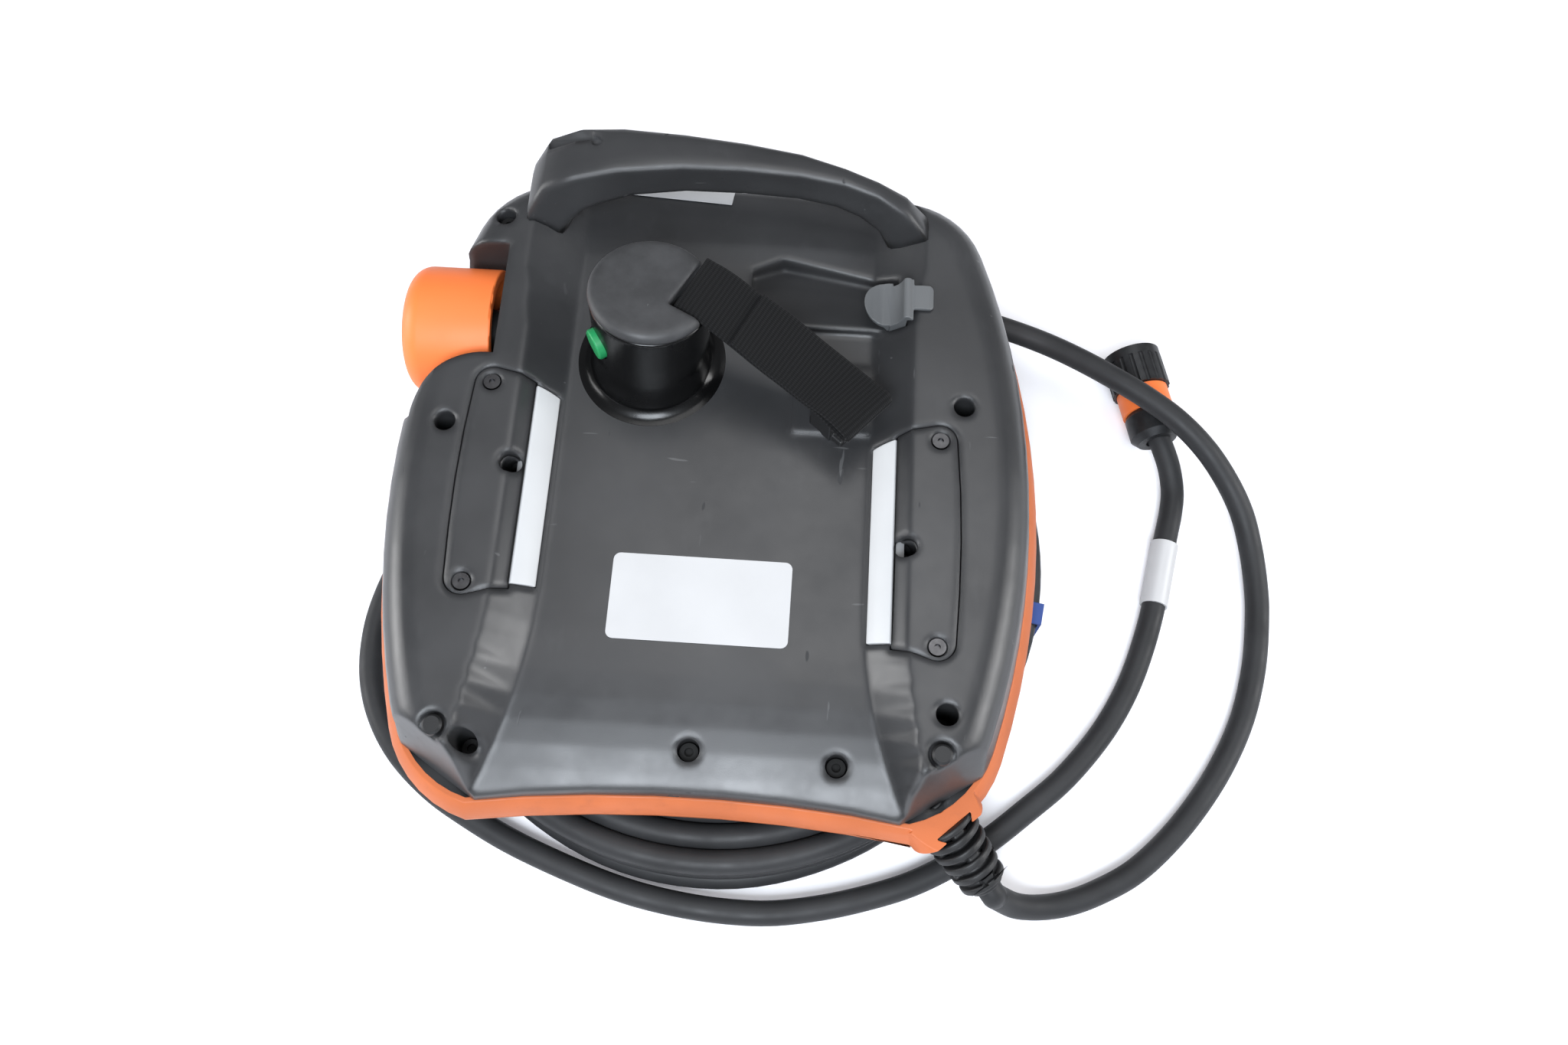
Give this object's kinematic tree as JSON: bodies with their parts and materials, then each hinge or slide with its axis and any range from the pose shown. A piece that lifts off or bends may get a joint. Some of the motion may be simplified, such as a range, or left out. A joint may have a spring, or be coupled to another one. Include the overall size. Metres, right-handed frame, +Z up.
{
  "type": "teach pendant",
  "caption": "Handheld robot teach pendant with side mouse, grip bars, rear dome with strap, carry handle and coiled lead.",
  "frame": {"origin": "under the middle of the pendant's box, lead left out, at the height of the surface it lies on", "axes": "+Z up, out of the pendant's back; +Y towards the carry handle; +X to the right seen from above, away from the mouse"},
  "size_m": [0.3847, 0.309, 0.1189],
  "materials": {
    "black_shell": "satin, fine grain",
    "orange_rim": "soft matt",
    "orange_cap": "satin",
    "white_bar": "satin",
    "grey_plastic": "satin",
    "green_button": "satin",
    "red_button": "satin",
    "yellow_collar": "satin",
    "strap_web": "matt",
    "screw_steel": "dull",
    "foot_rubber": "matt",
    "screen_glass": "gloss",
    "display_frame": "satin",
    "board_green": "solder mask",
    "lead_jacket": "satin",
    "tie_blue": "matt",
    "sleeve_white": "matt",
    "plug_metal": "satin",
    "insert_black": "matt"
  },
  "bodies": {
    "housing": {"rear_housing": "black_shell", "front_housing": "black_shell", "rim_upper": "orange_rim", "rim_lower": "orange_rim", "touch_glass": "screen_glass", "display_module": "display_frame", "main_board": "board_green", "key_board": "board_green", "carry_handle": "black_shell", "switch_cover_left": "black_shell", "switch_cover_right": "black_shell", "dome_grip": "black_shell", "dome_cap": "black_shell", "hand_strap": "strap_web", "strap_anchor": "black_shell", "usb_socket": "grey_plastic", "cover_screws": "screw_steel", "housing_screws": "screw_steel", "rubber_feet": "foot_rubber", "mouse_base": "black_shell", "stop_collar": "yellow_collar", "stop_switch": "grey_plastic", "key_switch": "plug_metal", "cable_gland": "foot_rubber", "cable_loop": "lead_jacket", "cable_tail": "lead_jacket", "cable_coil": "lead_jacket", "coil_tie": "tie_blue", "cable_sleeve": "sleeve_white", "plug_shell": "plug_metal", "plug_ring": "orange_cap", "plug_insert": "insert_black"},
    "bar_left": {"enabling_bar_left": "white_bar"},
    "bar_right": {"enabling_bar_right": "white_bar"},
    "dome_bar": {"dome_enabling_bar": "white_bar"},
    "start": {"start_button": "green_button"},
    "usb_cover": {"usb_cap": "grey_plastic"},
    "mouse_slider": {"mouse_carrier": "grey_plastic"},
    "mouse": {"mouse_cap": "orange_cap"},
    "stop": {"stop_stem": "grey_plastic", "stop_head": "red_button"},
    "key_lock": {"key_rotor": "plug_metal"},
    "release": {"release_button": "grey_plastic"},
    "nut": {"plug_nut": "plug_metal"},
    "jog_key_1": {"jog_key_1": "grey_plastic"},
    "jog_key_2": {"jog_key_2": "grey_plastic"},
    "jog_key_3": {"jog_key_3": "grey_plastic"},
    "jog_key_4": {"jog_key_4": "grey_plastic"},
    "jog_key_5": {"jog_key_5": "grey_plastic"},
    "jog_key_6": {"jog_key_6": "grey_plastic"},
    "override_key_1": {"override_key_1": "grey_plastic"},
    "override_key_2": {"override_key_2": "grey_plastic"},
    "menu_key": {"menu_key": "grey_plastic"},
    "keyboard_key": {"keyboard_key": "grey_plastic"},
    "status_key_1": {"status_key_1": "grey_plastic"},
    "status_key_2": {"status_key_2": "grey_plastic"},
    "status_key_3": {"status_key_3": "grey_plastic"},
    "run_key": {"run_key": "green_button"},
    "back_key": {"back_key": "grey_plastic"},
    "halt_key": {"halt_key": "red_button"}
  },
  "joints": [
    {"name": "enabling_bar_left_press", "type": "slide", "parent": "housing", "child": "bar_left", "axis": [-0.6306, 0, -0.7761], "range_m": [0, 0.0035], "stiffness_N_per_m": 1500},
    {"name": "enabling_bar_right_press", "type": "slide", "parent": "housing", "child": "bar_right", "axis": [0.6306, 0, -0.7761], "range_m": [0, 0.0035], "stiffness_N_per_m": 1500},
    {"name": "dome_bar_press", "type": "slide", "parent": "housing", "child": "dome_bar", "axis": [-0.1736, -0.9848, 0], "range_m": [0, 0.003], "stiffness_N_per_m": 1500},
    {"name": "start_press", "type": "slide", "parent": "housing", "child": "start", "axis": [0.848, 0.5299, 0], "range_m": [0, 0.002], "stiffness_N_per_m": 1500},
    {"name": "usb_cover_slide", "type": "slide", "parent": "housing", "child": "usb_cover", "axis": [-1, 0, 0], "range_m": [0, 0.012]},
    {"name": "mouse_push", "type": "slide", "parent": "housing", "child": "mouse_slider", "axis": [1, 0, 0], "range_m": [-0.001, 0.001], "stiffness_N_per_m": 8000},
    {"name": "mouse_twist", "type": "hinge", "parent": "mouse_slider", "child": "mouse", "pos_m": [-0.118, 0.06721, 0.057], "axis": [1, 0, 0], "range_deg": [-5, 5], "stiffness_Nm_per_rad": 4},
    {"name": "stop_press", "type": "slide", "parent": "housing", "child": "stop", "axis": [0, 0, 1], "range_m": [0, 0.005], "stiffness_N_per_m": 6000},
    {"name": "mode_key_turn", "type": "hinge", "parent": "housing", "child": "key_lock", "pos_m": [-0.03, 0.11371, 0.037], "axis": [0, 0, 1], "range_deg": [0, 90]},
    {"name": "release_press", "type": "slide", "parent": "housing", "child": "release", "axis": [0, 0, 1], "range_m": [0, 0.002], "stiffness_N_per_m": 1500},
    {"name": "plug_nut_turn", "type": "hinge", "parent": "housing", "child": "nut", "pos_m": [0.19, 0.06271, 0.0134], "axis": [-0.2419, 0.9703, 0], "range_deg": [0, 60]},
    {"name": "jog_key_1_tilt", "type": "hinge", "parent": "housing", "child": "jog_key_1", "pos_m": [-0.085, 0.01671, 0.0365], "axis": [0, 1, 0], "range_deg": [-2.5, 2.5], "stiffness_Nm_per_rad": 1.5},
    {"name": "jog_key_2_tilt", "type": "hinge", "parent": "housing", "child": "jog_key_2", "pos_m": [-0.085, -0.00429, 0.0365], "axis": [0, 1, 0], "range_deg": [-2.5, 2.5], "stiffness_Nm_per_rad": 1.5},
    {"name": "jog_key_3_tilt", "type": "hinge", "parent": "housing", "child": "jog_key_3", "pos_m": [-0.085, -0.02529, 0.0365], "axis": [0, 1, 0], "range_deg": [-2.5, 2.5], "stiffness_Nm_per_rad": 1.5},
    {"name": "jog_key_4_tilt", "type": "hinge", "parent": "housing", "child": "jog_key_4", "pos_m": [-0.085, -0.04629, 0.0365], "axis": [0, 1, 0], "range_deg": [-2.5, 2.5], "stiffness_Nm_per_rad": 1.5},
    {"name": "jog_key_5_tilt", "type": "hinge", "parent": "housing", "child": "jog_key_5", "pos_m": [-0.085, -0.06729, 0.0365], "axis": [0, 1, 0], "range_deg": [-2.5, 2.5], "stiffness_Nm_per_rad": 1.5},
    {"name": "jog_key_6_tilt", "type": "hinge", "parent": "housing", "child": "jog_key_6", "pos_m": [-0.085, -0.08829, 0.0365], "axis": [0, 1, 0], "range_deg": [-2.5, 2.5], "stiffness_Nm_per_rad": 1.5},
    {"name": "override_key_1_tilt", "type": "hinge", "parent": "housing", "child": "override_key_1", "pos_m": [-0.056, -0.10129, 0.0365], "axis": [0, 1, 0], "range_deg": [-2.5, 2.5], "stiffness_Nm_per_rad": 1.5},
    {"name": "override_key_2_tilt", "type": "hinge", "parent": "housing", "child": "override_key_2", "pos_m": [-0.026, -0.10129, 0.0365], "axis": [0, 1, 0], "range_deg": [-2.5, 2.5], "stiffness_Nm_per_rad": 1.5},
    {"name": "menu_key_press", "type": "slide", "parent": "housing", "child": "menu_key", "axis": [0, 0, 1], "range_m": [0, 0.0008], "stiffness_N_per_m": 1500},
    {"name": "keyboard_key_press", "type": "slide", "parent": "housing", "child": "keyboard_key", "axis": [0, 0, 1], "range_m": [0, 0.0008], "stiffness_N_per_m": 1500},
    {"name": "status_key_1_press", "type": "slide", "parent": "housing", "child": "status_key_1", "axis": [0, 0, 1], "range_m": [0, 0.0008], "stiffness_N_per_m": 1500},
    {"name": "status_key_2_press", "type": "slide", "parent": "housing", "child": "status_key_2", "axis": [0, 0, 1], "range_m": [0, 0.0008], "stiffness_N_per_m": 1500},
    {"name": "status_key_3_press", "type": "slide", "parent": "housing", "child": "status_key_3", "axis": [0, 0, 1], "range_m": [0, 0.0008], "stiffness_N_per_m": 1500},
    {"name": "run_key_press", "type": "slide", "parent": "housing", "child": "run_key", "axis": [0, 0, 1], "range_m": [0, 0.0008], "stiffness_N_per_m": 1500},
    {"name": "back_key_press", "type": "slide", "parent": "housing", "child": "back_key", "axis": [0, 0, 1], "range_m": [0, 0.0008], "stiffness_N_per_m": 1500},
    {"name": "halt_key_press", "type": "slide", "parent": "housing", "child": "halt_key", "axis": [0, 0, 1], "range_m": [0, 0.0008], "stiffness_N_per_m": 1500}
  ]
}
